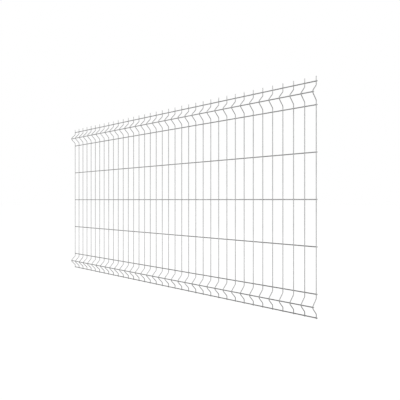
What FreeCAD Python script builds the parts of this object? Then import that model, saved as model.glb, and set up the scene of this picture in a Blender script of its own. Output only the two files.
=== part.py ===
import FreeCAD, Part
import Sketcher
import math
import os

# Welded mesh fence panel with two V folds: bent vertical wires on straight horizontal wires.
# The panel stands in the XZ plane. +X runs along it, +Z is up and the fold ridges point to -Y, the front.
# The origin is the middle of the cut foot of the middle vertical wire. All sizes are in millimetres.
# Each wire is a bar of few sides drawn round the real round wire, with a flat side to the front and back,
# so that crossing wires meet flat on flat where they are welded. A bend is a row of short mitred lengths.

WIRE_SIDES = 10

SIZES = {
    "vertical_wires": (37, "number of vertical wires"),
    "wire_pitch": (55, "from one vertical wire to the next, centre to centre"),
    "vertical_dia": (4, "diameter of a vertical wire"),
    "horizontal_dia": (5, "diameter of a horizontal wire"),
    "middle_cells": (4, "number of tall cells between the two folds"),
    "cell_height": (200, "height of a tall cell, wire centre to wire centre"),
    "fold_cell": (100, "height between the two horizontal wires that frame a fold"),
    "fold_depth": (29, "how far a fold's ridge stands out, centre line to centre line"),
    "fold_lean": (46, "degrees between the upright and the straight leg of a fold"),
    "foot_radius": (10, "radius of the bends beside the flat, on the wire's centre line"),
    "ridge_room": (5.5, "radius inside the bend at the ridge, less that of the wire that lies in it"),
    "spike_length": (20, "vertical wire above the centre of the top horizontal wire"),
    "foot_length": (3, "vertical wire below the centre of the bottom horizontal wire"),
    "side_length": (2.5, "horizontal wire past the centre of the last vertical wire"),
}

# Heights above the foot of the vertical wires, and the places of the wires across the panel.
BOTTOM = "Sizes.foot_length"
LOW_RIDGE = f"{BOTTOM} + Sizes.fold_cell / 2"
LOW_CELLS = f"{BOTTOM} + Sizes.fold_cell"
HIGH_CELLS = f"{LOW_CELLS} + Sizes.middle_cells * Sizes.cell_height"
HIGH_RIDGE = f"{HIGH_CELLS} + Sizes.fold_cell / 2"
TOP = f"{HIGH_CELLS} + Sizes.fold_cell"
WIRE_TOP = f"{TOP} + Sizes.spike_length"
ON_BACK = "(Sizes.vertical_dia + Sizes.horizontal_dia) / 2"
IN_RIDGE = f"{ON_BACK} - Sizes.fold_depth"
RIDGE_RADIUS = f"({ON_BACK} + Sizes.ridge_room)"

# A foot bend is mitred at a quarter and at three quarters of its turn. The ridge is two such bends.
FOOT_CHORD = "2 * Sizes.foot_radius * tan(Sizes.fold_lean / 4 * 1 deg)"
RIDGE_CHORD = f"2 * {RIDGE_RADIUS} * tan(Sizes.fold_lean / 4 * 1 deg)"

# How a sketch numbers the points of a line or circle and its own two axes
START, END, CENTRE = range(1, 4)
LEVEL_AXIS, UPRIGHT_AXIS = range(-1, -3, -1)
ORIGIN = (LEVEL_AXIS, START)


def make_sheet(doc):
    sheet = doc.addObject("Spreadsheet::Sheet", "Sizes")
    for row, (alias, (value, meaning)) in enumerate(SIZES.items(), start=1):
        sheet.set(f"A{row}", meaning)
        sheet.set(f"B{row}", str(value))
        sheet.setAlias(f"B{row}", alias)
    doc.recompute()
    return sheet


def make_sketch(body, name, role):
    plane = next(item for item in body.Origin.OriginFeatures if item.Role == role)
    sketch = body.newObject("Sketcher::SketchObject", name)
    sketch.AttachmentSupport = (plane, [""])
    sketch.MapMode = "FlatFace"
    return sketch


def add(sketch, kind, *where):
    return sketch.addConstraint(Sketcher.Constraint(kind, *where))


def tie(sketch, name, formula, kind, *where):
    """Adds a constraint of that kind and ties its size to the sheet."""
    index = add(sketch, kind, *where)
    sketch.renameConstraint(index, name)
    sketch.setExpression(f"Constraints.{name}", formula)


def draw_section(body, role, size_name, radius, first_side):
    """Draws the section of a wire: an even polygon round a circle, whose first side faces that way."""
    sketch = make_sketch(body, f"{body.Label}_section", role)
    circle = Part.Circle(FreeCAD.Vector(0, 0, 0), FreeCAD.Vector(0, 0, 1), radius)
    round_wire = sketch.addGeometry(circle, True)
    add(sketch, "Coincident", round_wire, CENTRE, *ORIGIN)
    tie(sketch, "diameter", size_name, "Diameter", round_wire, 2 * radius)
    turn = 2 * math.pi / WIRE_SIDES
    reach = radius / math.cos(turn / 2)
    corners = []
    for side in range(WIRE_SIDES + 1):
        angle = first_side + (side - 0.5) * turn
        corners.append(FreeCAD.Vector(reach * math.cos(angle), reach * math.sin(angle), 0))
    sides = [sketch.addGeometry(Part.LineSegment(*pair), False) for pair in zip(corners, corners[1:])]
    for side, following in zip(sides, sides[1:] + sides[:1]):
        add(sketch, "Coincident", side, END, following, START)
    for side in sides:
        add(sketch, "Tangent", side, round_wire)
    for side in sides[1:]:
        add(sketch, "Equal", sides[0], side)
    return sketch, sides[0]


def step(start, lean, length):
    """The point that lies that far along a line leaning out to the front by that many degrees."""
    angle = math.radians(lean)
    return start + FreeCAD.Vector(-length * math.sin(angle), length * math.cos(angle), 0)


def plan_fold(sheet):
    """The lean and the length of each straight piece of a fold, from its foot bend to its head bend."""
    lean = sheet.fold_lean
    foot = 2 * sheet.foot_radius * math.tan(math.radians(lean / 4))
    ridge_radius = (sheet.vertical_dia + sheet.horizontal_dia) / 2 + sheet.ridge_room
    ridge = 2 * ridge_radius * math.tan(math.radians(lean / 4))
    bends = (foot + ridge) * math.sin(math.radians(lean / 2))
    leg = (sheet.fold_depth - bends) / math.sin(math.radians(lean))
    rising = [(lean / 2, foot), (lean, leg), (lean / 2, ridge)]
    falling = [(-lean / 2, ridge), (-lean, leg), (-lean / 2, foot)]
    return rising + [(0, ridge)] + falling


def draw_fold(sketch, sheet, name, ridge_height, height_formula):
    """Draws one fold about the height of its ridge and ties its sizes. Returns its first and last piece."""
    plan = plan_fold(sheet)
    rise = sum(length * math.cos(math.radians(lean)) for lean, length in plan)
    corners = [FreeCAD.Vector(0, ridge_height - rise / 2, 0)]
    for lean, length in plan:
        corners.append(step(corners[-1], lean, length))
    pieces = [sketch.addGeometry(Part.LineSegment(*pair), False) for pair in zip(corners, corners[1:])]
    foot, low_leg, low_ridge, ridge, high_ridge, high_leg, head = pieces
    for piece, following in zip(pieces, pieces[1:]):
        add(sketch, "Coincident", piece, END, following, START)
    leans = {
        foot: "90 deg + Sizes.fold_lean / 2 * 1 deg",
        low_leg: "90 deg + Sizes.fold_lean * 1 deg",
        low_ridge: "90 deg + Sizes.fold_lean / 2 * 1 deg",
        high_ridge: "90 deg - Sizes.fold_lean / 2 * 1 deg",
        high_leg: "90 deg - Sizes.fold_lean * 1 deg",
        head: "90 deg - Sizes.fold_lean / 2 * 1 deg",
    }
    for piece, formula in leans.items():
        lean = math.radians(90 + plan[pieces.index(piece)][0])
        tie(sketch, f"{name}_lean_{pieces.index(piece)}", formula, "Angle", piece, lean)
    for piece in (foot, head):
        tie(sketch, f"{name}_foot_{pieces.index(piece)}", FOOT_CHORD, "Distance", piece, plan[0][1])
    for piece in (low_ridge, ridge, high_ridge):
        tie(sketch, f"{name}_ridge_{pieces.index(piece)}", RIDGE_CHORD, "Distance", piece, plan[3][1])
    add(sketch, "Vertical", ridge)
    peak = sketch.addGeometry(Part.Point(FreeCAD.Vector(-sheet.fold_depth, ridge_height, 0)), True)
    add(sketch, "Symmetric", ridge, START, ridge, END, peak, START)
    tie(sketch, f"{name}_depth", "Sizes.fold_depth", "DistanceX", peak, START, *ORIGIN, sheet.fold_depth)
    tie(sketch, f"{name}_height", height_formula, "DistanceY", *ORIGIN, peak, START, ridge_height)
    add(sketch, "PointOnObject", head, END, UPRIGHT_AXIS)
    return foot, head


def draw_path(body, sheet):
    """Draws the centre line of a vertical wire, from its foot at the body's origin up to its spike."""
    sketch = make_sketch(body, f"{body.Label}_path", "YZ_Plane")
    low_ridge = sheet.foot_length + sheet.fold_cell / 2
    high_ridge = low_ridge + sheet.fold_cell + sheet.middle_cells * sheet.cell_height
    top = high_ridge + sheet.fold_cell / 2 + sheet.spike_length
    low_fold = draw_fold(sketch, sheet, "low_fold", low_ridge, LOW_RIDGE)
    high_fold = draw_fold(sketch, sheet, "high_fold", high_ridge, HIGH_RIDGE)
    half = sum(length * math.cos(math.radians(lean)) for lean, length in plan_fold(sheet)) / 2
    levels = (0, low_ridge - half, low_ridge + half, high_ridge - half, high_ridge + half, top)
    ends = [FreeCAD.Vector(0, level, 0) for level in levels]
    foot, middle, spike = [sketch.addGeometry(Part.LineSegment(*ends[at:at + 2]), False) for at in (0, 2, 4)]
    add(sketch, "Coincident", foot, START, *ORIGIN)
    add(sketch, "Coincident", foot, END, low_fold[0], START)
    add(sketch, "Coincident", low_fold[1], END, middle, START)
    add(sketch, "Coincident", middle, END, high_fold[0], START)
    add(sketch, "Coincident", high_fold[1], END, spike, START)
    for straight in (foot, middle, spike):
        add(sketch, "Vertical", straight)
    tie(sketch, "wire_top", WIRE_TOP, "DistanceY", *ORIGIN, spike, END, top)
    return sketch


def make_vertical_wire(doc, sheet, index):
    body = doc.addObject("PartDesign::Body", f"vertical_wire_{index + 1:02d}")
    path = draw_path(body, sheet)
    radius = sheet.vertical_dia / 2
    profile, back_side = draw_section(body, "XY_Plane", "Sizes.vertical_dia", radius, math.pi / 2)
    add(profile, "Horizontal", back_side)
    doc.recompute()
    wire = body.newObject("PartDesign::AdditivePipe", f"{body.Label}_wire")
    wire.Profile = profile
    wire.Spine = path
    wire.Transition = "Right corner"
    steps = f"({index} - (Sizes.vertical_wires - 1) / 2)"
    body.setExpression("Placement.Base.x", f"{steps} * Sizes.wire_pitch")
    return body


def make_horizontal_wire(doc, sheet, label, depth, height):
    """Makes a straight wire across the whole panel, with its centre line at that depth and height."""
    body = doc.addObject("PartDesign::Body", label)
    radius = sheet.horizontal_dia / 2
    profile, back_side = draw_section(body, "YZ_Plane", "Sizes.horizontal_dia", radius, 0)
    add(profile, "Vertical", back_side)
    doc.recompute()
    wire = body.newObject("PartDesign::Pad", f"{label}_wire")
    wire.Profile = profile
    wire.Midplane = True
    wire.setExpression("Length", "(Sizes.vertical_wires - 1) * Sizes.wire_pitch + 2 * Sizes.side_length")
    body.setExpression("Placement.Base.y", depth)
    body.setExpression("Placement.Base.z", height)
    return body


def list_horizontal_wires(sheet):
    """Names every horizontal wire with its depth and height, from the bottom up."""
    wires = [
        ("bottom_wire", ON_BACK, BOTTOM),
        ("lower_fold_ridge_wire", IN_RIDGE, LOW_RIDGE),
        ("lower_fold_head_wire", ON_BACK, LOW_CELLS),
    ]
    for line in range(1, int(sheet.middle_cells)):
        wires.append((f"field_wire_{line}", ON_BACK, f"{LOW_CELLS} + {line} * Sizes.cell_height"))
    wires += [
        ("upper_fold_foot_wire", ON_BACK, HIGH_CELLS),
        ("upper_fold_ridge_wire", IN_RIDGE, HIGH_RIDGE),
        ("top_wire", ON_BACK, TOP),
    ]
    return wires


def export(doc, bodies):
    for item in doc.Objects:
        if "Invalid" in item.State or "Error" in item.State:
            raise RuntimeError(f"{item.Label} did not compute: {item.State}")
    for body in bodies:
        if body.Shape.isNull() or not body.Shape.isValid() or len(body.Shape.Solids) != 1:
            raise RuntimeError(f"{body.Label} is not one valid solid")
    for body in bodies:
        body.Shape.exportStep(f"parts/{body.Label}.step")


def main():
    os.makedirs("parts", exist_ok=True)
    doc = FreeCAD.newDocument("mesh_panel")
    sheet = make_sheet(doc)
    bodies = [make_vertical_wire(doc, sheet, index) for index in range(int(sheet.vertical_wires))]
    for label, depth, height in list_horizontal_wires(sheet):
        bodies.append(make_horizontal_wire(doc, sheet, label, depth, height))
    doc.recompute()
    export(doc, bodies)


main()
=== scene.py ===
import bpy
import math
import random
import numpy as np
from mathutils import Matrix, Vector


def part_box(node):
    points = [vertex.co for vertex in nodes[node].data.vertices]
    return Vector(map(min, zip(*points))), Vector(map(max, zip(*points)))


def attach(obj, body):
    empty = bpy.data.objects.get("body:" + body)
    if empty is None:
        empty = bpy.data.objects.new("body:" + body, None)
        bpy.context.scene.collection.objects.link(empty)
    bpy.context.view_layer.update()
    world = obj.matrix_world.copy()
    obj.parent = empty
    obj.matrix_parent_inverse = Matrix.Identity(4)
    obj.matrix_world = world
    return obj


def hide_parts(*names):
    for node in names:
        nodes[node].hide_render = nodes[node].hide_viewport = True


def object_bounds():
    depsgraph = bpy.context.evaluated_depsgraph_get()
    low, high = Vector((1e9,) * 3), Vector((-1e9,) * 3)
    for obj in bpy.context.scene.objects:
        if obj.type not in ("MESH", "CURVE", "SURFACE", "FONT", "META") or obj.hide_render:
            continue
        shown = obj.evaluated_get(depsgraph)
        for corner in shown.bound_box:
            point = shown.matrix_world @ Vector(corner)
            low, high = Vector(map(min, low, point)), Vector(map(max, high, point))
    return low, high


# Looks of a welded mesh fence panel: round galvanised wires with smooth bends, cut ends, electrode
# marks and weld beads. Lengths are in metres. The front, where the folds stand out, faces -Y.

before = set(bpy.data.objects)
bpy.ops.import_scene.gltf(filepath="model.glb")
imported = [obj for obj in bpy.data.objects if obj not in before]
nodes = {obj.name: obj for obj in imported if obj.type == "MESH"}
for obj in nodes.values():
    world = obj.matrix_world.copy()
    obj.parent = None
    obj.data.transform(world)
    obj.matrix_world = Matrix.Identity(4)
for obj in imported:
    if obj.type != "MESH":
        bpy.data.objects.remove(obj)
CAD_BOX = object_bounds()
PANEL_FOOT = CAD_BOX[0][2]

# Form of a bent wire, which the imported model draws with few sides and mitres
FOLD_LEAN = math.radians(46)
FOOT_RADIUS = 0.010
RIDGE_ROOM = 0.0055

# How finely wires are drawn. A crossing is sought at SEARCH_POINTS places along a bent wire, and
# rings whose places agree to PLACE_DIGITS digits are one.
RING_SIDES = 16
BEND_STEP = math.radians(6)
SEARCH_POINTS = 8001
PLACE_DIGITS = 7
SHARP_ANGLE = math.radians(40)

# Cut ends, and the flats that electrodes press into the wires, with their rings
CUT_BEVEL = 0.00035
MARK_DEPTH = 0.00030
MARK_LENGTH = 0.0030
MARK_OFFSETS = np.array((-1.0, -0.72, -0.4, 0.0, 0.4, 0.72, 1.0)) * MARK_LENGTH

# Weld beads, and how much one may differ from another
BEAD_THICKNESS = 0.0020
BEAD_SPREAD = 0.0028
BEAD_SAG = 0.35
BEAD_SHIFT = 0.0001
BEAD_THICKNESS_RANGE = (0.90, 1.15)
BEAD_SPREAD_RANGE = (0.88, 1.06)
BEAD_OUTLINE_RANGE = (0.95, 1.05)
BEAD_SEGMENTS = 14
BEAD_RINGS = 7

# Seed for what differs from wire to wire and from bead to bead
SEED = 11

# Greys of the zinc. The line wires and weld beads are the same zinc as the upright wires, and their
# darker greys are painted shade. One line wire is lighter than the others, a painted highlight.
UPRIGHT_GREY = 0.41
# Darker than the upright wires as painted shade
LINE_PAINTED_SHADE_GREY = 0.265
# Lighter than the other line wires as a painted highlight, at the camera's height
MIDDLE_LINE_PAINTED_HIGHLIGHT_GREY = 0.33
# Weld beads darker than the upright wires as painted shade, like the line wires
WELD_PAINTED_SHADE_GREY = 0.29
MIDDLE_LINE = "field_wire_2"

# Painted shade, given as the share of its grey that a wire keeps, in pairs of a height and a share.
# The upright wires are darker in the lower fold and towards the top wire, and the line wires low
# down, all painted shade.
UPRIGHT_PAINTED_SHADE = (
    (0.0, 0.58), (0.045, 0.60), (0.060, 0.72), (0.100, 0.80), (0.130, 1.0),
    (0.350, 1.0), (1.003, 0.66), (1.009, 0.88),
)
LINE_PAINTED_SHADE = ((0.0, 0.70), (0.30, 0.84), (0.50, 1.0))

# Pattern of the zinc: the scale of each noise and how far it swings the grey to either side. Each
# wire starts at a place of its own in a cube of the pattern, PATTERN_ROOM on a side.
CLOUD_SCALE = 14
CLOUD_SWING = 0.10
BLOTCH_SCALE = 210
BLOTCH_SWING = 0.14
STREAK_SCALE = 900
STREAK_SWING = 0.10
STREAK_STRETCH = (1, 1, 0.04)
GRAIN_SCALE = 1500
GRAIN_SWING = 0.05
NOISE_DETAIL = 3
NOISE_RANGE = (0.3, 0.7)
PATTERN_ROOM = 50

# Surface of the zinc
METALLIC = 0.55
SPECULAR_LEVEL = 0.25
ROUGHNESS_RANGE = (0.34, 0.60)
BUMP_STRENGTH = 0.35
BUMP_DISTANCE = 0.0001

# Camera
FOCAL_LENGTH = 38.517
SENSOR_WIDTH = 36.0
CAMERA_PLACE = (1.8969, -1.6303, 0.5008)
CAMERA_TURN = math.radians(44.289)
CLIP_START = 0.05
CLIP_END = 200.0

# Floor: its colour for the light that it gives back, and the faint colour and glow that are seen
FLOOR_LEVEL = -0.05
FLOOR_HALF = 40.0
FLOOR_ROUGHNESS = 0.9
FLOOR_COLOUR = 0.92
FLOOR_SEEN_COLOUR = 0.08
FLOOR_SEEN_GLOW = 0.955

# Studio: the light from all around and the white that is seen there, and two square lamps, in watts
STUDIO_LIGHT = 0.6
STUDIO_SEEN = 1.0
RIGHT_LAMP = {"place": (6.5, -2.8, 3.6), "target": (0.2, 0, 0.4), "size": 2.0, "power": 360}
BACK_LEFT_LAMP = {"place": (-3.2, 3.2, 2.6), "target": (0, 0, 0.5), "size": 1.6, "power": 40}

upright_nodes = sorted(name for name in nodes if name.startswith("vertical_wire"))
line_nodes = sorted(name for name in nodes if name not in upright_nodes)


def box_of(name):
    low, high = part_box(name)
    return Vector(low), Vector(high)


def centre_of(name):
    low, high = box_of(name)
    return (low + high) / 2


def radius_of_line(name):
    low, high = box_of(name)
    return (high.y - low.y) / 2


LINE_RADIUS = radius_of_line("top_wire")
LINE_DEPTH = centre_of("top_wire").y
UPRIGHT_RADIUS = LINE_DEPTH - LINE_RADIUS
UPRIGHT_TOP = box_of(upright_nodes[0])[1].z
RIDGE_RADIUS = UPRIGHT_RADIUS + LINE_RADIUS + RIDGE_ROOM
RIDGE_HEIGHTS = sorted(centre_of(name).z for name in line_nodes if "ridge" in name)
FOLD_DEPTH = LINE_DEPTH - centre_of("upper_fold_ridge_wire").y


def walk_arc(points, normals, centre, radius, start, stop):
    """Adds points of an arc in the YZ plane. An angle of 0 points back and a quarter turn up."""
    count = max(2, math.ceil(abs(stop - start) / BEND_STEP))
    for angle in np.linspace(start, stop, count + 1):
        out = np.array((math.cos(angle), math.sin(angle)))
        points.append(np.array(centre) + radius * out)
        normals.append(out)


def fold_rise():
    """Height of a fold's foot below its ridge, which is that of its head above it."""
    both = FOOT_RADIUS + RIDGE_RADIUS
    leg = (FOLD_DEPTH - both * (1 - math.cos(FOLD_LEAN))) / math.sin(FOLD_LEAN)
    return both * math.sin(FOLD_LEAN) + leg * math.cos(FOLD_LEAN)


def walk_fold(points, normals, height):
    """Adds the centre line of one fold: foot bend, leg, ridge bend, leg and head bend."""
    rise = fold_rise()
    walk_arc(points, normals, (-FOOT_RADIUS, height - rise), FOOT_RADIUS, 0, FOLD_LEAN)
    ridge = (RIDGE_RADIUS - FOLD_DEPTH, height)
    ridge_points = []
    ridge_normals = []
    start = math.pi + FOLD_LEAN
    stop = math.pi - FOLD_LEAN
    walk_arc(ridge_points, ridge_normals, ridge, RIDGE_RADIUS, start, stop)
    points += ridge_points
    normals += [-out for out in ridge_normals]
    walk_arc(points, normals, (-FOOT_RADIUS, height + rise), FOOT_RADIUS, -FOLD_LEAN, 0)


def upright_path():
    """The centre line of a bent wire in the YZ plane, foot to spike, with normals to the back."""
    points = [np.array((0.0, 0.0))]
    normals = [np.array((1.0, 0.0))]
    for height in RIDGE_HEIGHTS:
        walk_fold(points, normals, height)
    points.append(np.array((0.0, UPRIGHT_TOP)))
    normals.append(np.array((1.0, 0.0)))
    return np.array(points), np.array(normals)


def distances_along(points):
    """How far along the line each of its points lies."""
    steps = np.linalg.norm(np.diff(points, axis=0), axis=1)
    return np.concatenate(([0.0], np.cumsum(steps)))


def read_off(where, along, values):
    """Both columns of the values at those distances along the line."""
    return np.stack([np.interp(where, along, values[:, axis]) for axis in range(2)], axis=1)


def refine(points, normals, stations):
    """Adds rings on the straight stretches at those distances along the line."""
    along = distances_along(points)
    wanted = np.clip(np.concatenate((along, stations)), 0, along[-1])
    every = np.unique(np.round(wanted, PLACE_DIGITS))
    fine_points = read_off(every, along, points)
    fine_normals = read_off(every, along, normals)
    fine_normals /= np.linalg.norm(fine_normals, axis=1)[:, None]
    return every, fine_points, fine_normals


def nearest_distance(points, height, depth):
    """How far along the line its nearest point to that depth and height lies."""
    along = distances_along(points)
    fine = np.linspace(0, along[-1], SEARCH_POINTS)
    gaps = read_off(fine, along, points) - np.array((depth, height))
    return fine[np.argmin(np.linalg.norm(gaps, axis=1))]


def upright_rings():
    """A bent wire's rings, as distances, places and normals in the YZ plane, and its crossings."""
    points, normals = upright_path()
    crossings = []
    for line in line_nodes:
        centre = centre_of(line)
        crossings.append(nearest_distance(points, centre.z, centre.y - LINE_DEPTH))
    crossings = np.array(sorted(crossings))
    total = distances_along(points)[-1]
    stations = (crossings[:, None] + MARK_OFFSETS[None, :]).ravel()
    stations = np.concatenate((stations, (CUT_BEVEL, total - CUT_BEVEL)))
    along, path, back = refine(points, normals, stations)
    return along, path, back, crossings


def mark_fade(distances, centres):
    """One at the middle of an electrode mark and nothing from its end on."""
    gap = np.min(np.abs(distances[:, None] - centres[None, :]), axis=1) / MARK_LENGTH
    return np.sqrt(np.clip(1 - gap, 0, 1))


def tube(along, centres, outs, across, radius, fade):
    """Vertices and faces of a closed round wire, and where each vertex lies with the wire straight.

    along are the distances of the rings from the wire's start and centres their centres. outs are
    unit vectors to the side that an electrode presses flat, where fade is over nothing, and across
    the others.
    """
    turn = np.linspace(0, 2 * math.pi, RING_SIDES, endpoint=False)
    reach = np.full(len(centres), radius)
    reach[0] -= CUT_BEVEL
    reach[-1] -= CUT_BEVEL
    outward = reach[:, None] * np.cos(turn)[None, :]
    sideways = reach[:, None] * np.sin(turn)[None, :]
    outward = np.minimum(outward, (radius - MARK_DEPTH * fade)[:, None])
    offsets = outward[:, :, None] * outs[:, None, :]
    offsets += sideways[:, :, None] * across[:, None, :]
    vertices = (centres[:, None, :] + offsets).reshape(-1, 3)
    distance = np.repeat(along[:, None], RING_SIDES, axis=1)
    places = np.stack((sideways, outward, distance), axis=2).reshape(-1, 3)
    faces = []
    for ring in range(len(centres) - 1):
        base = ring * RING_SIDES
        beyond = base + RING_SIDES
        for side in range(RING_SIDES):
            following = (side + 1) % RING_SIDES
            faces.append((base + side, base + following, beyond + following, beyond + side))
    faces.append(tuple(range(RING_SIDES - 1, -1, -1)))
    last = (len(centres) - 1) * RING_SIDES
    faces.append(tuple(range(last, last + RING_SIDES)))
    return vertices, faces, places


def make_piece(name, vertices, faces, places, material):
    """A mesh piece that also keeps those places of its vertices, for the zinc's pattern."""
    mesh = bpy.data.meshes.new(name)
    mesh.from_pydata([tuple(vertex) for vertex in vertices], [], faces)
    pattern = mesh.attributes.new("wire_place", "FLOAT_VECTOR", "POINT")
    pattern.data.foreach_set("vector", np.asarray(places, dtype=np.float32).ravel())
    mesh.update()
    mesh.polygons.foreach_set("use_smooth", [True] * len(mesh.polygons))
    mesh.set_sharp_from_angle(angle=SHARP_ANGLE)
    mesh.materials.append(material)
    piece = bpy.data.objects.new(name, mesh)
    bpy.context.scene.collection.objects.link(piece)
    return piece


def pattern_start(dice):
    """Where in the zinc's pattern a wire starts, so that no two wires look the same."""
    return np.array([dice.uniform(0, PATTERN_ROOM) for axis in range(3)])


def build_upright(name, rings, material, dice):
    along, path, back, crossings = rings
    place = np.full(len(path), centre_of(name).x)
    centres = np.stack((place, path[:, 0], path[:, 1]), axis=1)
    outs = np.stack((np.zeros(len(path)), -back[:, 0], -back[:, 1]), axis=1)
    across = np.tile((-1.0, 0.0, 0.0), (len(path), 1))
    fade = mark_fade(along, crossings)
    vertices, faces, places = tube(along, centres, outs, across, UPRIGHT_RADIUS, fade)
    places = places + pattern_start(dice)
    return make_piece(f"{name}_round", vertices, faces, places, material)


def build_line(name, material, dice):
    low, high = box_of(name)
    centre = (low + high) / 2
    crossings = np.array([centre_of(upright).x - low.x for upright in upright_nodes])
    length = high.x - low.x
    stations = (crossings[:, None] + MARK_OFFSETS[None, :]).ravel()
    stations = np.concatenate((stations, (0.0, CUT_BEVEL, length - CUT_BEVEL, length)))
    along = np.unique(np.round(stations, PLACE_DIGITS))
    along = along[(along >= 0) & (along <= length)]
    depths = np.full(len(along), centre.y)
    heights = np.full(len(along), centre.z)
    centres = np.stack((low.x + along, depths, heights), axis=1)
    outs = np.tile((0.0, 1.0, 0.0), (len(along), 1))
    across = np.tile((0.0, 0.0, 1.0), (len(along), 1))
    fade = mark_fade(along, crossings)
    vertices, faces, places = tube(along, centres, outs, across, LINE_RADIUS, fade)
    places = places + pattern_start(dice)
    return make_piece(f"{name}_round", vertices, faces, places, material)


def bead(centre, spread, thickness, ends, dice):
    """Vertices and faces of one weld bead: metal squeezed out, under zinc that ran down a little.

    ends are the lowest and highest X that it may reach, so that it stays on the wire. It goes no
    lower than the foot of the panel, either.
    """
    vertices = [(centre[0], centre[1] - thickness / 2, centre[2])]
    for ring in range(1, BEAD_RINGS):
        polar = math.pi * ring / BEAD_RINGS
        for segment in range(BEAD_SEGMENTS):
            angle = 2 * math.pi * segment / BEAD_SEGMENTS
            reach = spread * math.sin(polar) * dice.uniform(*BEAD_OUTLINE_RANGE)
            reach *= 1 + BEAD_SAG * max(0.0, -math.sin(angle)) ** 2
            vertices.append((
                min(max(centre[0] + reach * math.cos(angle), ends[0]), ends[1]),
                centre[1] - thickness / 2 * math.cos(polar),
                max(centre[2] + reach * math.sin(angle), PANEL_FOOT),
            ))
    vertices.append((centre[0], centre[1] + thickness / 2, centre[2]))
    faces = []
    for segment in range(BEAD_SEGMENTS):
        following = (segment + 1) % BEAD_SEGMENTS
        faces.append((0, 1 + segment, 1 + following))
        for ring in range(BEAD_RINGS - 2):
            base = 1 + ring * BEAD_SEGMENTS
            beyond = base + BEAD_SEGMENTS
            faces.append((base + segment, beyond + segment, beyond + following, base + following))
        base = 1 + (BEAD_RINGS - 2) * BEAD_SEGMENTS
        faces.append((base + segment, len(vertices) - 1, base + following))
    return vertices, faces


def build_welds(line, material, dice):
    """All the weld beads along one straight wire, as one piece."""
    low, high = box_of(line)
    centre = centre_of(line)
    ends = (low.x + CUT_BEVEL, high.x - CUT_BEVEL)
    vertices = []
    faces = []
    for upright in upright_nodes:
        place = (
            centre_of(upright).x + dice.uniform(-BEAD_SHIFT, BEAD_SHIFT),
            centre.y - LINE_RADIUS,
            centre.z + dice.uniform(-BEAD_SHIFT, BEAD_SHIFT),
        )
        spread = BEAD_SPREAD * dice.uniform(*BEAD_SPREAD_RANGE)
        thickness = BEAD_THICKNESS * dice.uniform(*BEAD_THICKNESS_RANGE)
        bead_vertices, bead_faces = bead(place, spread, thickness, ends, dice)
        start = len(vertices)
        vertices += bead_vertices
        faces += [tuple(start + index for index in face) for face in bead_faces]
    return make_piece(f"{line}_welds", vertices, faces, vertices, material)


def grey(value):
    """An opaque grey, from 0 for black to 1 for white."""
    return (value, value, value, 1)


def combine(tree, operation, first, second):
    """The sum, product or larger one of two values, as the operation says."""
    node = tree.nodes.new("ShaderNodeMath")
    node.operation = operation
    tree.links.new(first, node.inputs[0])
    tree.links.new(second, node.inputs[1])
    return node.outputs["Value"]


def remap(tree, source, before, after):
    """A value of the first range, brought to the second and kept inside it."""
    node = tree.nodes.new("ShaderNodeMapRange")
    node.inputs["From Min"].default_value = before[0]
    node.inputs["From Max"].default_value = before[1]
    node.inputs["To Min"].default_value = after[0]
    node.inputs["To Max"].default_value = after[1]
    tree.links.new(source, node.inputs["Value"])
    return node.outputs["Result"]


def swing(tree, noise, amount):
    """A factor that the noise swings by that amount to either side of one."""
    return remap(tree, noise, NOISE_RANGE, (1 - amount, 1 + amount))


def wire_noise(tree, scale, stretch=None):
    """A noise that runs with the wire round its bends, stretched where that is asked for."""
    place = tree.nodes.new("ShaderNodeAttribute")
    place.attribute_name = "wire_place"
    source = place.outputs["Vector"]
    if stretch is not None:
        mapping = tree.nodes.new("ShaderNodeMapping")
        mapping.inputs["Scale"].default_value = stretch
        tree.links.new(source, mapping.inputs["Vector"])
        source = mapping.outputs["Vector"]
    texture = tree.nodes.new("ShaderNodeTexNoise")
    texture.inputs["Scale"].default_value = scale
    texture.inputs["Detail"].default_value = NOISE_DETAIL
    tree.links.new(source, texture.inputs["Vector"])
    return texture.outputs["Fac"]


def painted_shade_at_height(tree, shade_shares):
    """The painted shade at a place's height: the share of grey kept, from pairs of a height and a
    share, even between them.
    """
    position = tree.nodes.new("ShaderNodeTexCoord")
    parts = tree.nodes.new("ShaderNodeSeparateXYZ")
    tree.links.new(position.outputs["Object"], parts.inputs["Vector"])
    ramp = tree.nodes.new("ShaderNodeValToRGB")
    elements = ramp.color_ramp.elements
    elements.remove(elements[1])
    elements[0].position = shade_shares[0][0] / UPRIGHT_TOP
    elements[0].color = grey(shade_shares[0][1])
    for height, share in shade_shares[1:]:
        elements.new(height / UPRIGHT_TOP).color = grey(share)
    tree.links.new(remap(tree, parts.outputs["Z"], (0, UPRIGHT_TOP), (0, 1)), ramp.inputs["Fac"])
    return ramp.outputs["Color"]


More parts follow.
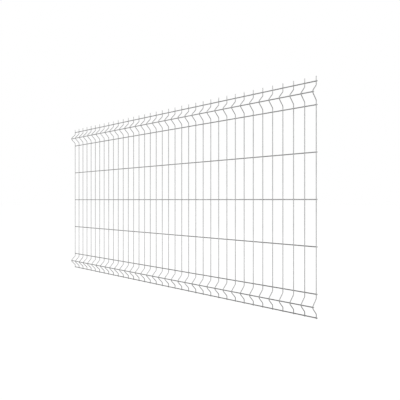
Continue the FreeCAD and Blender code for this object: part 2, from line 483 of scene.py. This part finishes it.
def zinc(name, tone, shade_shares=None):
    """Hot-dip galvanised wire: clouds and blotches, streaks along the wire and uneven gloss.

    tone is its grey. Where a table of heights is given, it keeps only a share of that grey by
    height, which is painted shade; where there is none, it keeps all of it.
    """
    material = bpy.data.materials.new(name)
    material.use_nodes = True
    tree = material.node_tree
    shader = tree.nodes["Principled BSDF"]
    shader.inputs["Metallic"].default_value = METALLIC
    shader.inputs["Specular IOR Level"].default_value = SPECULAR_LEVEL
    streaks = wire_noise(tree, STREAK_SCALE, STREAK_STRETCH)
    clouds = wire_noise(tree, CLOUD_SCALE)
    blotches = wire_noise(tree, BLOTCH_SCALE)
    grain = wire_noise(tree, GRAIN_SCALE)
    shade = swing(tree, clouds, CLOUD_SWING)
    shade = combine(tree, "MULTIPLY", shade, swing(tree, blotches, BLOTCH_SWING))
    shade = combine(tree, "MULTIPLY", shade, swing(tree, streaks, STREAK_SWING))
    shade = combine(tree, "MULTIPLY", shade, swing(tree, grain, GRAIN_SWING))
    # Painted shade: the wire keeps only a share of its grey at some heights
    if shade_shares:
        shade = combine(tree, "MULTIPLY", shade, painted_shade_at_height(tree, shade_shares))
    colour = tree.nodes.new("ShaderNodeVectorMath")
    colour.operation = "SCALE"
    colour.inputs[0].default_value = (tone, tone, tone)
    tree.links.new(shade, colour.inputs["Scale"])
    tree.links.new(colour.outputs["Vector"], shader.inputs["Base Color"])
    roughness = remap(tree, blotches, NOISE_RANGE, ROUGHNESS_RANGE)
    tree.links.new(roughness, shader.inputs["Roughness"])
    relief = combine(tree, "ADD", streaks, combine(tree, "ADD", blotches, grain))
    bump = tree.nodes.new("ShaderNodeBump")
    bump.inputs["Strength"].default_value = BUMP_STRENGTH
    bump.inputs["Distance"].default_value = BUMP_DISTANCE
    tree.links.new(relief, bump.inputs["Height"])
    tree.links.new(bump.outputs["Normal"], shader.inputs["Normal"])
    return material


def build_object():
    # The upright wires: painted shade by height
    upright_zinc_painted_shade = zinc("upright_wire_zinc_painted_shade", UPRIGHT_GREY, UPRIGHT_PAINTED_SHADE)
    # Line wires: a painted-shade grey, and painted shade by height as well
    line_zinc_painted_shade = zinc("line_wire_zinc_painted_shade", LINE_PAINTED_SHADE_GREY, LINE_PAINTED_SHADE)
    # The middle line wire: a painted-highlight grey
    middle_zinc_painted_highlight = zinc("middle_wire_zinc_painted_highlight", MIDDLE_LINE_PAINTED_HIGHLIGHT_GREY)
    # Weld beads: a painted-shade grey
    weld_zinc_painted_shade = zinc("weld_zinc_painted_shade", WELD_PAINTED_SHADE_GREY)
    dice = random.Random(SEED)
    rings = upright_rings()
    for name in upright_nodes:
        piece = build_upright(name, rings, upright_zinc_painted_shade, dice)
        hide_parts(name)
        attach(piece, "root")
    for name in line_nodes:
        piece = build_line(name, middle_zinc_painted_highlight if name == MIDDLE_LINE else line_zinc_painted_shade, dice)
        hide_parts(name)
        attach(piece, "root")
        welds = build_welds(name, weld_zinc_painted_shade, dice)
        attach(welds, "root")


def seen_or_not(tree, unseen, seen):
    """One value for the light that it gives, another where it is seen, in gloss or glass too."""
    path = tree.nodes.new("ShaderNodeLightPath")
    either = path.outputs["Is Camera Ray"]
    for kind in ("Is Glossy Ray", "Is Transmission Ray"):
        either = combine(tree, "MAXIMUM", either, path.outputs[kind])
    return remap(tree, either, (0, 1), (unseen, seen))


def build_stage():
    """A wide white floor below the panel, which hangs clear of the ground between its posts."""
    mesh = bpy.data.meshes.new("floor")
    corners = [
        (-FLOOR_HALF, -FLOOR_HALF, FLOOR_LEVEL),
        (FLOOR_HALF, -FLOOR_HALF, FLOOR_LEVEL),
        (FLOOR_HALF, FLOOR_HALF, FLOOR_LEVEL),
        (-FLOOR_HALF, FLOOR_HALF, FLOOR_LEVEL),
    ]
    mesh.from_pydata(corners, [], [(0, 1, 2, 3)])
    floor = bpy.data.objects.new("floor", mesh)
    bpy.context.scene.collection.objects.link(floor)
    paint = bpy.data.materials.new("floor_paint")
    paint.use_nodes = True
    tree = paint.node_tree
    shader = tree.nodes["Principled BSDF"]
    shader.inputs["Roughness"].default_value = FLOOR_ROUGHNESS
    shader.inputs["Specular IOR Level"].default_value = 0.0
    shader.inputs["Emission Color"].default_value = grey(1)
    colour = seen_or_not(tree, FLOOR_COLOUR, FLOOR_SEEN_COLOUR)
    tree.links.new(colour, shader.inputs["Base Color"])
    glow = seen_or_not(tree, 0, FLOOR_SEEN_GLOW)
    tree.links.new(glow, shader.inputs["Emission Strength"])
    mesh.materials.append(paint)


def add_lamp(name, place, target, size, power):
    data = bpy.data.lights.new(name, "AREA")
    data.shape = "SQUARE"
    data.size = size
    data.energy = power
    lamp = bpy.data.objects.new(name, data)
    lamp.location = place
    lamp.rotation_mode = "QUATERNION"
    lamp.rotation_quaternion = (Vector(target) - Vector(place)).to_track_quat("-Z", "Y")
    lamp.visible_camera = False
    bpy.context.scene.collection.objects.link(lamp)


def light_scene():
    world = bpy.data.worlds.new("studio")
    bpy.context.scene.world = world
    world.use_nodes = True
    tree = world.node_tree
    background = tree.nodes["Background"]
    background.inputs["Color"].default_value = grey(1)
    strength = seen_or_not(tree, STUDIO_LIGHT, STUDIO_SEEN)
    tree.links.new(strength, background.inputs["Strength"])
    add_lamp("right_lamp", **RIGHT_LAMP)
    add_lamp("back_left_lamp", **BACK_LEFT_LAMP)


def place_camera():
    data = bpy.data.cameras.new("camera")
    data.lens = FOCAL_LENGTH
    data.sensor_width = SENSOR_WIDTH
    data.clip_start = CLIP_START
    data.clip_end = CLIP_END
    camera = bpy.data.objects.new("camera", data)
    camera.location = CAMERA_PLACE
    camera.rotation_euler = (math.pi / 2, 0, CAMERA_TURN)
    bpy.context.scene.collection.objects.link(camera)
    bpy.context.scene.camera = camera


place_camera()
light_scene()
build_stage()
build_object()
bpy.context.scene.view_settings.view_transform = "Standard"
